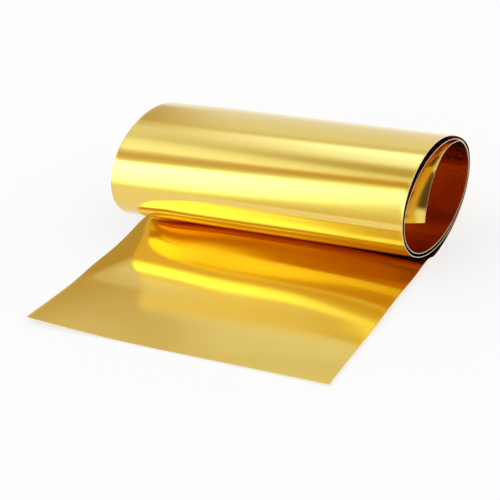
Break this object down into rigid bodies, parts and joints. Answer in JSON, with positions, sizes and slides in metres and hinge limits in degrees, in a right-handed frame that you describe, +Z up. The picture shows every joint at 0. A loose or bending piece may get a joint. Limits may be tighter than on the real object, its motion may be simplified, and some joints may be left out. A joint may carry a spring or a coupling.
{
  "type": "roll of brass sheet",
  "caption": "Loosely wound oval roll of thin brass sheet, its outer end let out flat on the floor and its inner end standing free inside.",
  "frame": {"origin": "on the floor, at the middle of the space the sheet takes up in plan", "axes": "+X along the axis of the roll, -Y the way the flat outer end runs out, +Z up from the floor"},
  "size_m": [0.2, 0.2024, 0.0688],
  "materials": {
    "brass": "bright rolled"
  },
  "bodies": {
    "root": {"brass_sheet": "brass"}
  },
  "joints": []
}
